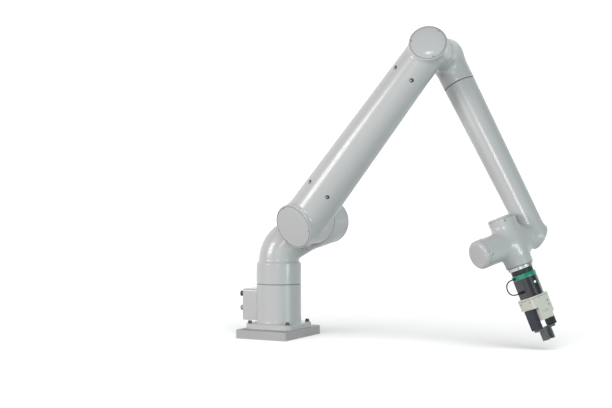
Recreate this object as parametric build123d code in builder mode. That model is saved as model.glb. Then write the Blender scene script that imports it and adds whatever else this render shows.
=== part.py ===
"""Six-axis robot arm on a mounting plate, with a two-finger gripper, in its working pose.

Millimetres. The origin is the centre of the mounting plate's underside. +X is the way the arm
reaches, +Y runs along the shoulder axis from the upper arm towards the forearm, and +Z is up.
"""

import os
from math import acos, atan2, cos, degrees, radians, sin

from build123d import *

# Pose at rest, in degrees
lean = 39.2  # upper arm, forward from upright
hang = 26.7  # forearm, forward from hanging straight down
roll = 36.5  # wrist, turned about the forearm
wrist_turn = 7.0  # tool axis, turned about the wrist axis from the forearm's line
lean_back = 60.0  # upper arm, furthest back from upright
cap_tilt = 25.5  # round covers, turned from the joint axis towards the tip of the link

# Clearances and small shared sizes
running_gap = 0.3  # between a seal and the link that turns on it
cover_gap = 0.8  # round each cover, in its recess
seat_gap = 0.1  # between curved faces that seat on each other
seal_thickness = 3.0
seal_inset = 3.0  # of a seal's rim behind the housings beside it
rim_round = 2.5  # outer edge of a cover's boss
cover_seat = 9.0  # depth of a cover's recess
cover_crown = 3.0  # rise of a cover above its rim
overrun = 60.0  # of cuts past the solid

# Mounting plate and base
plate_z = 35.0
plate_margin_x, plate_margin_y = 7.0, 47.0  # of the plate beyond the foot, on each side
plate_corner, plate_chamfer = 8.0, 1.5
plate_hole_inset_x, plate_hole_inset_y, plate_hole_r = 22.0, 20.0, 6.75
foot_margin = 15.0  # of the foot beyond the column, on each side
foot_z, foot_corner = 20.0, 32.0
foot_hole_inset, foot_hole_r = 20.0, 6.75
foot_edge = 3.0
base_r, base_top = 90.0, 209.0
base_root_fillet = 7.0
box_depth, box_width, box_height = 50.0, 110.0, 126.0
box_lift = 2.0  # over the fillet at the column's root
box_round, box_into_base = 10.0, 30.0
panel_thickness, panel_margin = 4.0, 9.0
socket_r, socket_length, socket_lip = 11.0, 16.0, 2.5
socket_drop, socket_y = 22.0, 24.0  # below the box's top, and beside its middle
gland_r, gland_length, gland_tip_r = 17.0, 30.0, 10.0
gland_rise = 44.0  # above the box's bottom

# Turret
turret_top, turret_shoulder = 303.0, 8.0
neck_r, neck_bend_r = 81.0, 97.0
neck_stop = 40.0  # of the neck's end, short of the shoulder axis
shoulder_forward, shoulder_height, shoulder_r = 150.0, 461.0, 90.0
shoulder_face = 18.0  # Y of the joint face
shoulder_length = 124.0  # joint face to rear cover
rear_cover_length, rear_cover_round = 26.0, 20.0
saddle_clear = 7.0  # round the upper arm's lower end as it swings

# Upper arm
arm_length = 815.0
arm_low_r, arm_high_r = 88.0, 70.0
arm_stand = 2.0  # between the tube and its seal at the shoulder
arm_joint_inset = 4.0  # of the joint ends behind the tube's radius
cover_rim = 4.0  # of a boss, round its cover
boss_proud = 4.0  # of a cover's boss over the tube that it ends
plug_hole_r, plug_hole_depth = 6.5, 5.0
plug_spread = 34.0  # degrees round the tube from its near side
plug_places = (158.0, 696.0)  # along the tube from the shoulder axis

# Elbow and forearm
elbow_stand = 5.0  # between the upper arm's tube and the joint face
elbow_length = 115.0  # joint face to the forearm's centre line
elbow_r, elbow_tube_r = 66.0, 61.5
elbow_boss_extra = 0.5  # of the cover's boss over the tube
elbow_tube_end = 121.0  # along the forearm from the elbow axis
fore_length = 758.0  # elbow axis to wrist axis
fore_top_r, fore_low_r = 60.5, 48.0
fore_boss_extra = 2.0
fore_cap_tilt = 45.0  # of the cover at the forearm's lower end
fore_joint_inset = 0.5

# Wrist
wrist_face = 50.0  # from the forearm's centre line to the joint face
hand_clear = 10.7  # between the forearm's joint face and the housing on the tool axis
wrist_r, wrist_length = 52.0, 204.7
wrist_cover_length, wrist_cover_round = 20.0, 14.0
hand_r, hand_top, hand_bottom = 51.0, 92.0, 86.0
hand_cover_length, hand_cover_round = 9.0, 5.0

# Tool flange and gripper, with lengths along the tool axis
flange_r, flange_length = 46.0, 10.7
coupling_r, coupling_length, coupling_edge = 40.0, 17.0, 2.0
light_r, light_length, light_edge = 45.0, 18.0, 3.0
motor_r, motor_length, motor_flat = 44.0, 70.0, 38.0
lamp_r, lamp_length, lamp_drop = 4.0, 3.0, 23.0
body_side, body_depth, body_length, body_corner = 84.0, 78.0, 90.0, 7.0
left_pocket_length, left_pocket_depth = 48.0, 18.0
right_pocket_length, right_pocket_depth = 18.0, 12.0
window_width, window_height, window_depth, window_drop = 26.0, 7.0, 5.0, 61.0
strip_thickness, strip_width = 6.0, 34.0
groove_half, groove_depth = 7.0, 13.0

# Fingers
finger_depth, finger_clear = 46.0, 1.2
finger_reach = 28.0  # past the end of the gripper body
tongue_stop = 2.0  # from the middle of the body
tip_reach, tip_thickness, tip_depth, tip_length = 30.0, 9.0, 30.0, 46.0
tip_root = 8.0  # overlap of a tip's foot with its finger, along the tool axis
tip_inset = 8.0  # from the middle of the body to a tip's pad face

# Cable loop on the gripper: distance out from the tool axis, distance along it
cable_r = 2.3
cable_route = [(50.0, 126.0), (71.0, 124.0), (92.0, 137.0), (95.0, 163.0), (76.0, 181.0), (50.0, 180.0)]
cable_socket_r, cable_bend_share = 5.0, 0.45

# Sizes that follow from those above
foot_size = 2 * (base_r + foot_margin)
foot_hole_spacing = foot_size - 2 * foot_hole_inset
foot_top = plate_z + foot_z
plate_x = foot_size + 2 * plate_margin_x
plate_y = foot_size + 2 * plate_margin_y
plate_hole_x = plate_x - 2 * plate_hole_inset_x
plate_hole_y = plate_y - 2 * plate_hole_inset_y
box_back = base_r + box_depth
box_bottom = foot_top + base_root_fillet + box_lift
box_top = box_bottom + box_height
socket_z = box_top - socket_drop
gland_z = box_bottom + gland_rise
shoulder_back = shoulder_face + shoulder_length
arm_plane = shoulder_face - seal_thickness - arm_low_r - arm_stand
arm_low_cover_r = arm_low_r - cover_rim
arm_high_cover_r = arm_high_r - cover_rim
arm_joint_r_low = arm_low_r - arm_joint_inset
arm_joint_r_high = arm_high_r - arm_joint_inset
elbow_face = arm_plane + arm_high_r + elbow_stand
fore_plane = elbow_face + elbow_length
elbow_boss_r = elbow_tube_r + elbow_boss_extra
elbow_cover_r = elbow_boss_r - cover_rim
fore_end_r = fore_low_r + fore_boss_extra
fore_cover_r = fore_end_r - cover_rim
fore_joint_r = fore_low_r - fore_joint_inset
wrist_start = wrist_face + seal_thickness + running_gap
wrist_end = wrist_start + wrist_length
tool_offset = wrist_start + hand_r + hand_clear
flange_start = hand_bottom + seal_thickness + running_gap
flange_end = flange_start + flange_length
coupling_end = flange_end + coupling_length
light_end = coupling_end + light_length
motor_end = light_end + motor_length
body_end = motor_end + body_length
lamp_place = light_end + lamp_drop
left_pocket_start = body_end - left_pocket_length
right_pocket_start = body_end - right_pocket_length
window_place = motor_end + window_drop
finger_end = body_end + finger_reach

# Directions and key points at rest
out_dir = Vector(0, 1, 0)
arm_dir = Vector(sin(radians(lean)), 0, cos(radians(lean)))
lean_back_dir = Vector(-sin(radians(lean_back)), 0, cos(radians(lean_back)))
fore_dir = Vector(sin(radians(hang)), 0, -cos(radians(hang)))
side_dir = Vector(0, -1, 0).rotate(Axis((0, 0, 0), fore_dir), roll)
tool_dir = fore_dir.rotate(Axis((0, 0, 0), side_dir), -wrist_turn)
face_dir = tool_dir.cross(side_dir)

shoulder = Vector(shoulder_forward, arm_plane, shoulder_height)
elbow = shoulder + arm_dir * arm_length
fore_top = Vector(elbow.X, fore_plane, elbow.Z)
wrist = fore_top + fore_dir * fore_length
tool = wrist + side_dir * tool_offset


def facing(point, normal, across=out_dir):
    """Plane through a point, looking along a normal, with its X as near to across as it can be."""
    return Plane(origin=point, x_dir=across - normal * across.dot(normal), z_dir=normal)


def tilted(axis_dir, tip_dir, tilt=cap_tilt):
    """Direction of a cover: its joint axis, turned by the cover's tilt towards the link's tip."""
    return axis_dir * cos(radians(tilt)) + tip_dir * sin(radians(tilt))


def boss_height(tube_r, cover_r, tilt=cap_tilt):
    """Height of a cover's boss over the joint centre, where its rim just clears the tube."""
    return (tube_r - cover_r * sin(radians(tilt))) / cos(radians(tilt)) + boss_proud


def boss_plane(centre, direction, tube_r, cover_r, tilt=cap_tilt):
    """Plane of the rim of a cover's boss."""
    return facing(centre + direction * boss_height(tube_r, cover_r, tilt), direction, arm_dir.cross(out_dir))


def lathe_plane(plane):
    """Plane for a profile that is turned about a plane's normal: X is the radius, Y is along the normal."""
    return Plane(origin=plane.origin, x_dir=plane.x_dir, z_dir=-plane.y_dir)


def add_boss(plane, boss_r, cover_r, root):
    """Adds the round boss of a tilted cover to the link being built, with the cover's recess in it."""
    with BuildSketch(plane) as above:
        Circle(boss_r + overrun)
    extrude(above.sketch, amount=overrun, mode=Mode.SUBTRACT)
    with BuildSketch(lathe_plane(plane)) as profile:
        with Locations((boss_r / 2, -root / 2)):
            Rectangle(boss_r, root)
        rim_corner = profile.vertices().sort_by(lambda v: v.X + v.Y)[-1]
        fillet(rim_corner, rim_round)
    revolve(profile.sketch, axis=Axis(plane.origin, plane.z_dir))
    with BuildSketch(plane) as recess:
        Circle(cover_r + cover_gap)
    extrude(recess.sketch, amount=-cover_seat, mode=Mode.SUBTRACT)


def make_cover(name, plane, cover_r):
    """Round cover, set in its boss, with a low crown."""
    with BuildPart() as cover:
        with BuildSketch(lathe_plane(plane)):
            with BuildLine():
                crown = ThreePointArc((cover_r, 0), (0, cover_crown), (-cover_r, 0))
                Polyline(crown @ 1, (-cover_r, -cover_seat), (cover_r, -cover_seat), crown @ 0)
            make_face()
            split(bisect_by=Plane.YZ)
        revolve(axis=Axis(plane.origin, plane.z_dir))
    save(name, cover)


def disc(name, plane, radius, thickness):
    """Plain round disc on a plane."""
    with BuildPart() as piece:
        with BuildSketch(plane):
            Circle(radius)
        extrude(amount=thickness)
    save(name, piece)


def save(name, piece):
    """Labels a finished sub-part and writes it to its own file."""
    piece.part.label = name
    export_step(piece.part, f"parts/{name}.step")


os.makedirs("parts", exist_ok=True)

# Mounting plate: a thick ground plate with a bolt hole near each corner
with BuildPart() as plate:
    with BuildSketch():
        RectangleRounded(plate_x, plate_y, plate_corner)
    extrude(amount=plate_z)
    chamfer(plate.faces().sort_by(Axis.Z)[-1].outer_wire().edges(), plate_chamfer)
    with Locations(plate.faces().sort_by(Axis.Z)[-1]):
        with GridLocations(plate_hole_x, plate_hole_y, 2, 2):
            Hole(plate_hole_r)
save("mounting_plate", plate)

# Base housing: a square foot and a round column cast in one
with BuildPart() as base:
    with BuildSketch(Plane.XY.offset(plate_z)):
        RectangleRounded(foot_size, foot_size, foot_corner)
    extrude(amount=foot_z)
    chamfer(base.faces().sort_by(Axis.Z)[-1].outer_wire().edges(), foot_edge)
    with BuildSketch(Plane.XY.offset(foot_top)):
        Circle(base_r)
    extrude(amount=base_top - foot_top)
    root = base.edges().filter_by(GeomType.CIRCLE).group_by(Axis.Z)[-2]
    fillet(root, base_root_fillet)
    with Locations(Plane.XY.offset(foot_top)):
        with GridLocations(foot_hole_spacing, foot_hole_spacing, 2, 2):
            Hole(foot_hole_r, depth=foot_z)
save("base_housing", base)

# Connector box: stands behind the column, cut to the column's round
with BuildPart() as box:
    with BuildSketch(Plane.XY.offset(box_bottom)):
        with Locations(((-box_back - base_r + box_into_base) / 2, 0)):
            Rectangle(box_back - base_r + box_into_base, box_width)
    extrude(amount=box_top - box_bottom)
    outer = box.edges().filter_by(Axis.Z).group_by(Axis.X)[0]
    upper = box.edges().group_by(Axis.Z)[-1].sort_by(Axis.X)[:3]
    fillet(outer + upper, box_round)
    with BuildSketch(Plane.XY.offset(box_bottom)):
        Circle(base_r + seat_gap)
    extrude(amount=overrun + box_top - box_bottom, mode=Mode.SUBTRACT)
save("connector_box", box)

# Connector panel, two sockets and a cable gland on the back of the box
panel_plane = Plane(origin=(-box_back, 0, (box_top + box_bottom) / 2), x_dir=(0, -1, 0), z_dir=(-1, 0, 0))
with BuildPart() as panel:
    with BuildSketch(panel_plane):
        RectangleRounded(
            box_width - 2 * (box_round + panel_margin),
            box_top - box_bottom - 2 * (box_round + panel_margin),
            panel_margin,
        )
    extrude(amount=panel_thickness)
save("connector_panel", panel)

panel_face = -box_back - panel_thickness
for socket_name, place_y in (("power_socket", -socket_y), ("signal_socket", socket_y)):
    with BuildPart() as socket:
        with BuildSketch(Plane(origin=(panel_face, place_y, socket_z), z_dir=(-1, 0, 0))):
            Circle(socket_r)
        extrude(amount=socket_length)
        with BuildSketch(Plane(origin=(panel_face - socket_length, place_y, socket_z), z_dir=(1, 0, 0))):
            Circle(socket_r - socket_lip)
        extrude(amount=socket_length / 2, mode=Mode.SUBTRACT)
    save(socket_name, socket)

with BuildPart() as gland:
    with BuildSketch(Plane(origin=(panel_face, 0, gland_z), x_dir=(0, -1, 0), z_dir=(-1, 0, 0))):
        RegularPolygon(gland_r, 6)
    extrude(amount=gland_length / 3)
    with BuildSketch(Plane(origin=(panel_face - gland_length / 3, 0, gland_z), z_dir=(-1, 0, 0))):
        Circle((gland_r + gland_tip_r) / 2)
    with BuildSketch(Plane(origin=(panel_face - gland_length, 0, gland_z), z_dir=(-1, 0, 0))):
        Circle(gland_tip_r)
    loft()
save("cable_gland", gland)

disc("base_seal", Plane.XY.offset(base_top), base_r - seal_inset, seal_thickness)

# Turret: a round body, a bent neck and the shoulder housing, with a saddle for the upper arm
turret_bottom = base_top + seal_thickness + running_gap
neck_back = (shoulder_face + shoulder_back) / 2
neck_heading = Vector(shoulder_forward, neck_back, 0).normalized()
neck_reach = (shoulder_forward**2 + neck_back**2) ** 0.5
neck_rise = shoulder_height - turret_top
to_shoulder = ((neck_reach - neck_bend_r) ** 2 + neck_rise**2) ** 0.5
neck_turn = 180 - degrees(atan2(neck_rise, neck_reach - neck_bend_r) + acos(neck_bend_r / to_shoulder))
neck_straight = (to_shoulder**2 - neck_bend_r**2) ** 0.5
arm_sweep_r = boss_height(arm_low_r, arm_low_cover_r) * sin(radians(cap_tilt)) + arm_low_r * cos(radians(cap_tilt))
with BuildPart() as turret:
    with BuildSketch(Plane.XY.offset(turret_bottom)):
        Circle(base_r)
    extrude(amount=turret_top - turret_bottom)
    chamfer(turret.faces().sort_by(Axis.Z)[-1].edges(), turret_shoulder)
    neck_plane = Plane(origin=(0, 0, turret_top), x_dir=neck_heading, z_dir=neck_heading.cross(Vector(0, 0, 1)))
    with BuildLine(neck_plane) as neck_path:
        bend = JernArc((0, 0), (0, 1), neck_bend_r, -neck_turn)
        PolarLine(bend @ 1, neck_straight - neck_stop, direction=bend % 1)
    with BuildSketch(Plane.XY.offset(turret_top)):
        Circle(neck_r)
    sweep(path=neck_path.wires()[0])
    with BuildSketch(facing(Vector(shoulder_forward, shoulder_face + running_gap, shoulder_height), out_dir, arm_dir)):
        Circle(shoulder_r)
    extrude(amount=shoulder_back - shoulder_face - running_gap)
    with BuildSketch(facing(Vector(shoulder_forward, shoulder_face + running_gap, shoulder_height), -out_dir, arm_dir)):
        Circle(arm_sweep_r + saddle_clear)
    extrude(amount=neck_r + overrun, mode=Mode.SUBTRACT)
    with BuildSketch(facing(shoulder, lean_back_dir)):
        Circle(arm_low_r + arm_stand + seal_thickness)
    extrude(amount=arm_length / 2, mode=Mode.SUBTRACT)
    with BuildSketch(facing(Vector(shoulder_forward, shoulder_back, shoulder_height), out_dir, arm_dir)):
        Circle(shoulder_r + neck_r)
    extrude(amount=overrun, mode=Mode.SUBTRACT)
save("turret_casting", turret)

with BuildPart() as rear_cover:
    with BuildSketch(facing(Vector(shoulder_forward, shoulder_back, shoulder_height), out_dir, arm_dir)):
        Circle(shoulder_r)
    extrude(amount=rear_cover_length)
    fillet(rear_cover.edges().sort_by(Axis.Y)[-1], rear_cover_round)
save("shoulder_rear_cover", rear_cover)

# Upper arm: a tapered tube that turns into a joint at each end, with a tilted cover at each corner
low_boss_dir, high_boss_dir = tilted(-out_dir, -arm_dir), tilted(-out_dir, arm_dir)
low_boss = boss_plane(shoulder, low_boss_dir, arm_low_r, arm_low_cover_r)
high_boss = boss_plane(elbow, high_boss_dir, arm_high_r, arm_high_cover_r)
arm_section = facing(shoulder, arm_dir)
with BuildPart() as upper_arm:
    with BuildSketch(arm_section):
        Circle(arm_low_r)
    with BuildSketch(arm_section.offset(arm_length)):
        Circle(arm_high_r)
    loft()
    with BuildSketch(facing(shoulder, out_dir, arm_dir)):
        Circle(arm_joint_r_low)
    extrude(amount=shoulder_face - seal_thickness - arm_plane)
    with BuildSketch(facing(elbow, out_dir, arm_dir)):
        Circle(arm_joint_r_high)
    extrude(amount=elbow_face - seal_thickness - arm_plane)
    add_boss(low_boss, arm_low_r, arm_low_cover_r, arm_low_r)
    add_boss(high_boss, arm_high_r, arm_high_cover_r, arm_high_r)
    for place in plug_places:
        tube_r = arm_low_r + (arm_high_r - arm_low_r) * place / arm_length
        with BuildSketch(facing(shoulder + arm_dir * place - out_dir * tube_r, -out_dir, arm_dir)):
            plug_offset = tube_r * sin(radians(plug_spread))
            with Locations((0, -plug_offset), (0, plug_offset)):
                Circle(plug_hole_r)
        plug_sink = tube_r - tube_r * cos(radians(plug_spread))
        extrude(amount=-(plug_sink + plug_hole_depth), mode=Mode.SUBTRACT)
save("upper_arm_casting", upper_arm)
make_cover("shoulder_cover", low_boss, arm_low_cover_r)
make_cover("elbow_cover", high_boss, arm_high_cover_r)
shoulder_seal_plane = facing(Vector(shoulder.X, shoulder_face - seal_thickness, shoulder.Z), out_dir, arm_dir)
disc("shoulder_seal", shoulder_seal_plane, arm_joint_r_low - seal_inset, seal_thickness)
elbow_seal_plane = facing(Vector(elbow.X, elbow_face - seal_thickness, elbow.Z), out_dir, arm_dir)
disc("elbow_seal", elbow_seal_plane, arm_joint_r_high - seal_inset, seal_thickness)

# Elbow: a housing along the joint axis that turns down into the forearm
elbow_boss_dir = tilted(out_dir, -fore_dir)
elbow_boss = boss_plane(fore_top, elbow_boss_dir, elbow_tube_r, elbow_cover_r)
with BuildPart() as elbow_part:
    with BuildSketch(facing(Vector(elbow.X, elbow_face + running_gap, elbow.Z), out_dir, arm_dir)):
        Circle(elbow_r)
    extrude(amount=fore_plane - elbow_face - running_gap)
    with BuildSketch(facing(fore_top, fore_dir)):
        Circle(elbow_tube_r)
    extrude(amount=elbow_tube_end)
    add_boss(elbow_boss, elbow_boss_r, elbow_cover_r, elbow_boss_r)
save("elbow_casting", elbow_part)
make_cover("elbow_rear_cover", elbow_boss, elbow_cover_r)
forearm_seal_plane = facing(fore_top + fore_dir * elbow_tube_end, fore_dir)
disc("forearm_seal", forearm_seal_plane, elbow_tube_r - seal_inset, seal_thickness)

# Forearm: a long tapered tube that turns towards the wrist joint at its lower end
fore_start = elbow_tube_end + seal_thickness + running_gap
fore_boss_dir = tilted(-side_dir, fore_dir, fore_cap_tilt)
fore_boss = boss_plane(wrist, fore_boss_dir, fore_low_r, fore_cover_r, fore_cap_tilt)
with BuildPart() as forearm:
    with BuildSketch(facing(fore_top + fore_dir * fore_start, fore_dir)):
        Circle(fore_top_r)
    with BuildSketch(facing(wrist, fore_dir)):
        Circle(fore_low_r)
    loft()
    with BuildSketch(facing(wrist, side_dir, fore_dir)):
        Circle(fore_joint_r)
    extrude(amount=wrist_face)
    add_boss(fore_boss, fore_end_r, fore_cover_r, boss_height(fore_low_r, fore_cover_r, fore_cap_tilt))
save("forearm_tube", forearm)
make_cover("forearm_end_cover", fore_boss, fore_cover_r)
wrist_seal_plane = facing(wrist + side_dir * wrist_face, side_dir, fore_dir)
disc("wrist_seal", wrist_seal_plane, fore_joint_r - seal_inset, seal_thickness)

# Wrist: a cross of two housings, along the wrist axis and along the tool axis
with BuildPart() as wrist_part:
    with BuildSketch(facing(wrist + side_dir * wrist_start, side_dir, fore_dir)):
        Circle(wrist_r)
    extrude(amount=wrist_end - wrist_start)
    with BuildSketch(facing(tool - tool_dir * hand_top, tool_dir)):
        Circle(hand_r)
    extrude(amount=hand_top + hand_bottom)
save("wrist_casting", wrist_part)


def end_cover(name, plane, radius, length, edge):
    """Round end cover with a rounded rim."""
    with BuildPart() as cover:
        with BuildSketch(plane):
            Circle(radius)
        extrude(amount=length)
        rims = cover.edges().filter_by(GeomType.CIRCLE)
        fillet(rims.sort_by(lambda e: -plane.to_local_coords(e.arc_center).Z)[0], edge)
    save(name, cover)


end_cover(
    "wrist_side_cover",
    facing(wrist + side_dir * wrist_end, side_dir, fore_dir),
    wrist_r,
    wrist_cover_length,
    wrist_cover_round,
)
top_cover_plane = facing(tool - tool_dir * hand_top, -tool_dir)
end_cover("wrist_top_cover", top_cover_plane, hand_r, hand_cover_length, hand_cover_round)


def tool_plane(along):
    """Plane across the tool axis at a distance along it, with its X towards the side of the wrist."""
    return facing(tool + tool_dir * along, tool_dir, side_dir)


disc("tool_seal", tool_plane(hand_bottom), hand_r - seal_inset, seal_thickness)

# Tool flange, coupling, light ring and the gripper's motor housing, in line on the tool axis
disc("tool_flange", tool_plane(flange_start), flange_r, flange_end - flange_start)
end_cover("tool_coupling", tool_plane(flange_end), coupling_r, coupling_end - flange_end, coupling_edge)
with BuildPart() as light:
    with BuildSketch(tool_plane(coupling_end)):
        Circle(light_r)
    extrude(amount=light_end - coupling_end)
    fillet(light.edges().filter_by(GeomType.CIRCLE), light_edge)
save("light_ring", light)

with BuildPart() as motor:
    with BuildSketch(tool_plane(light_end)):
        Circle(motor_r)
        Rectangle(2 * motor_flat, 2 * motor_r, mode=Mode.INTERSECT)
    extrude(amount=motor_end - light_end)
save("gripper_motor_housing", motor)

lamp_plane = facing(tool + tool_dir * lamp_place - face_dir * motor_r, -face_dir, tool_dir)
with BuildPart() as lamp:
    with BuildSketch(lamp_plane):
        Circle(lamp_r)
    extrude(amount=lamp_length)
    lamp_rims = lamp.edges().filter_by(GeomType.CIRCLE)
    fillet(lamp_rims.sort_by(lambda e: -lamp_plane.to_local_coords(e.arc_center).Z)[0], lamp_length / 2)
save("status_lamp", lamp)

# Strip along the motor housing's flat, on the side next to the forearm
strip_plane = facing(tool - side_dir * motor_flat, -side_dir, tool_dir)
with BuildPart() as strip:
    with BuildSketch(strip_plane):
        with Locations(((light_end + motor_end) / 2, 0)):
            RectangleRounded(motor_end - light_end, strip_width, strip_thickness)
    extrude(amount=strip_thickness)
save("cable_strip", strip)

# Gripper body: a block with pockets for the fingers and a guide groove across its end
with BuildPart() as body:
    with BuildSketch(tool_plane(motor_end)):
        RectangleRounded(body_side, body_depth, body_corner)
    extrude(amount=body_end - motor_end)
    with BuildSketch(tool_plane(left_pocket_start)):
        with Locations((body_side / 2 + overrun / 2 - left_pocket_depth, 0)):
            Rectangle(overrun, body_depth + overrun)
    extrude(amount=body_end - left_pocket_start + overrun, mode=Mode.SUBTRACT)
    with BuildSketch(tool_plane(right_pocket_start)):
        with Locations((-body_side / 2 - overrun / 2 + right_pocket_depth, 0)):
            Rectangle(overrun, body_depth + overrun)
    extrude(amount=body_end - right_pocket_start + overrun, mode=Mode.SUBTRACT)
    with BuildSketch(tool_plane(body_end - groove_depth)):
        Rectangle(body_side + overrun, 2 * groove_half)
    extrude(amount=groove_depth + overrun, mode=Mode.SUBTRACT)
    for face in (-1, 1):
        window_middle = tool + tool_dir * window_place + face_dir * (face * body_depth / 2)
        with BuildSketch(facing(window_middle, face_dir * face, side_dir)):
            SlotOverall(window_width, window_height)
        extrude(amount=-window_depth, mode=Mode.SUBTRACT)
save("gripper_body", body)

# Fingers: each has a carrier in its pocket, a tongue in the groove and a tip with a pad face
for finger_name, hand, pocket_start, pocket_depth in (
    ("left", 1, left_pocket_start, left_pocket_depth),
    ("right", -1, right_pocket_start, right_pocket_depth),
):
    inner = body_side / 2 - pocket_depth + finger_clear
    outer_face = body_side / 2
    tongue_half = groove_half - running_gap
    with BuildPart() as finger:
        with BuildSketch(tool_plane(pocket_start + finger_clear)):
            with Locations((hand * (inner + outer_face) / 2, 0)):
                Rectangle(outer_face - inner, finger_depth)
        extrude(amount=finger_end - pocket_start - finger_clear)
        with BuildSketch(tool_plane(body_end - groove_depth + running_gap)):
            with Locations((hand * (tongue_stop + inner) / 2, 0)):
                Rectangle(inner - tongue_stop, 2 * tongue_half)
        extrude(amount=groove_depth - 2 * running_gap)
    save(f"finger_{finger_name}", finger)
    with BuildPart() as tip:
        with BuildSketch(tool_plane(finger_end)):
            with Locations((hand * (tip_inset + tip_reach / 2), 0)):
                Rectangle(tip_reach, tip_depth)
        extrude(amount=tip_root)
        with BuildSketch(tool_plane(finger_end + tip_root)):
            with Locations((hand * (tip_inset + tip_thickness / 2), 0)):
                Rectangle(tip_thickness, tip_depth)
        extrude(amount=tip_length - tip_root)
    save(f"fingertip_{finger_name}", tip)

# Cable loop from the coupling to the motor housing, with a socket at each end
cable_points = [tool + side_dir * out + tool_dir * along for out, along in cable_route]
cable_radii = []
for before, here, after in zip(cable_points, cable_points[1:], cable_points[2:]):
    turn = (here - before).get_angle(after - here)
    shorter = min((here - before).length, (after - here).length)
    half_turn = radians(turn / 2)
    cable_radii.append(cable_bend_share * shorter * cos(half_turn) / sin(half_turn))
print("cable bend radii", [round(r, 1) for r in cable_radii])
with BuildPart() as cable:
    with BuildLine() as cable_path:
        FilletPolyline(*cable_points, radius=cable_radii)
    with BuildSketch(facing(cable_points[0], (cable_points[1] - cable_points[0]).normalized())):
        Circle(cable_r)
    sweep(path=cable_path.wires()[0])
print("cable length", round(cable_path.wires()[0].length, 1), "volume", round(cable.part.volume, 1))
save("gripper_cable", cable)

upper_start = facing(cable_points[0], (cable_points[0] - cable_points[1]).normalized(), tool_dir)
with BuildPart() as upper_socket:
    with BuildSketch(upper_start):
        Circle(cable_socket_r)
    extrude(amount=cable_points[0].sub(tool).dot(side_dir))
    with BuildSketch(tool_plane(coupling_end - overrun)):
        Circle(light_r + seat_gap)
    extrude(amount=light_end - coupling_end + 2 * overrun, mode=Mode.SUBTRACT)
save("cable_socket_upper", upper_socket)

lower_start = facing(cable_points[-1], (cable_points[-1] - cable_points[-2]).normalized(), tool_dir)
with BuildPart() as lower_socket:
    with BuildSketch(lower_start):
        Circle(cable_socket_r)
    extrude(amount=cable_points[-1].sub(tool).dot(side_dir))
    with BuildSketch(facing(tool + side_dir * motor_flat, -side_dir, tool_dir)):
        Rectangle(2 * body_end, 2 * body_end)
    extrude(amount=overrun, mode=Mode.SUBTRACT)
save("cable_socket_lower", lower_socket)
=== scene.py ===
import bpy
import numpy as np
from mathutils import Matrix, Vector


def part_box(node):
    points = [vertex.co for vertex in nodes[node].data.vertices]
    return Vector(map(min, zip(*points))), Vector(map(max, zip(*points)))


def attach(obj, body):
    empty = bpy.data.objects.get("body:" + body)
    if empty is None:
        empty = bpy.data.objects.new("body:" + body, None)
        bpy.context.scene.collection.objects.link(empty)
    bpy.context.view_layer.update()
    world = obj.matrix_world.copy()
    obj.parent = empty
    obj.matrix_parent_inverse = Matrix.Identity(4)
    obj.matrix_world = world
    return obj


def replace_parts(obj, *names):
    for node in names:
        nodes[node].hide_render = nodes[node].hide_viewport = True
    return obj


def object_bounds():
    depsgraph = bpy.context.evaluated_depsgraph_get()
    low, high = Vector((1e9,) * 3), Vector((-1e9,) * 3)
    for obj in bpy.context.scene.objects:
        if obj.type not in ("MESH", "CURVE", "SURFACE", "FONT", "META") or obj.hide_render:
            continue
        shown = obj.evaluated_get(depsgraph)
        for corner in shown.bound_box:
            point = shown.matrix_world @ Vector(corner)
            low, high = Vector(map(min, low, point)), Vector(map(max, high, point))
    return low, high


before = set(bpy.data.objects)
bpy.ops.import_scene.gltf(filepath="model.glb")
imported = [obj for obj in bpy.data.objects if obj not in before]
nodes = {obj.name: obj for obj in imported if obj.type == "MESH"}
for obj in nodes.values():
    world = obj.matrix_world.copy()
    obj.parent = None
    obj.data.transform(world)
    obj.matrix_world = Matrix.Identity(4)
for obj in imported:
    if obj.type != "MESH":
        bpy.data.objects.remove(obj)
cad_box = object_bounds()

# The room: a pale floor that curves up into a wall behind the arm.
# It is one smooth sheet, so no edge shows behind the arm.
view_turn = np.radians(27.0)
view_right = np.array([np.cos(view_turn), np.sin(view_turn), 0.0])
view_ahead = np.array([-np.sin(view_turn), np.cos(view_turn), 0.0])
up = np.array([0.0, 0.0, 1.0])


def put_mesh(name, points, faces, material):
    """A smooth mesh object at the origin from an array of points and a list of faces."""
    mesh = bpy.data.meshes.new(name)
    mesh.from_pydata(points.tolist(), [], faces)
    mesh.polygons.foreach_set("use_smooth", np.ones(len(mesh.polygons), bool))
    mesh.materials.append(material)
    mesh.update()
    made = bpy.data.objects.new(name, mesh)
    bpy.context.scene.collection.objects.link(made)
    return made


class Signal:
    """One output in a shader tree. Sums and products of signals add Math nodes."""

    def __init__(self, finish, socket):
        self.finish, self.socket = finish, socket

    def maths(self, operation, other):
        return self.finish.node("ShaderNodeMath", {"operation": operation}, {0: self, 1: other})

    def __add__(self, other):
        return self.maths("ADD", other)

    def __mul__(self, other):
        return self.maths("MULTIPLY", other)

    __radd__, __rmul__ = __add__, __mul__


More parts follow.
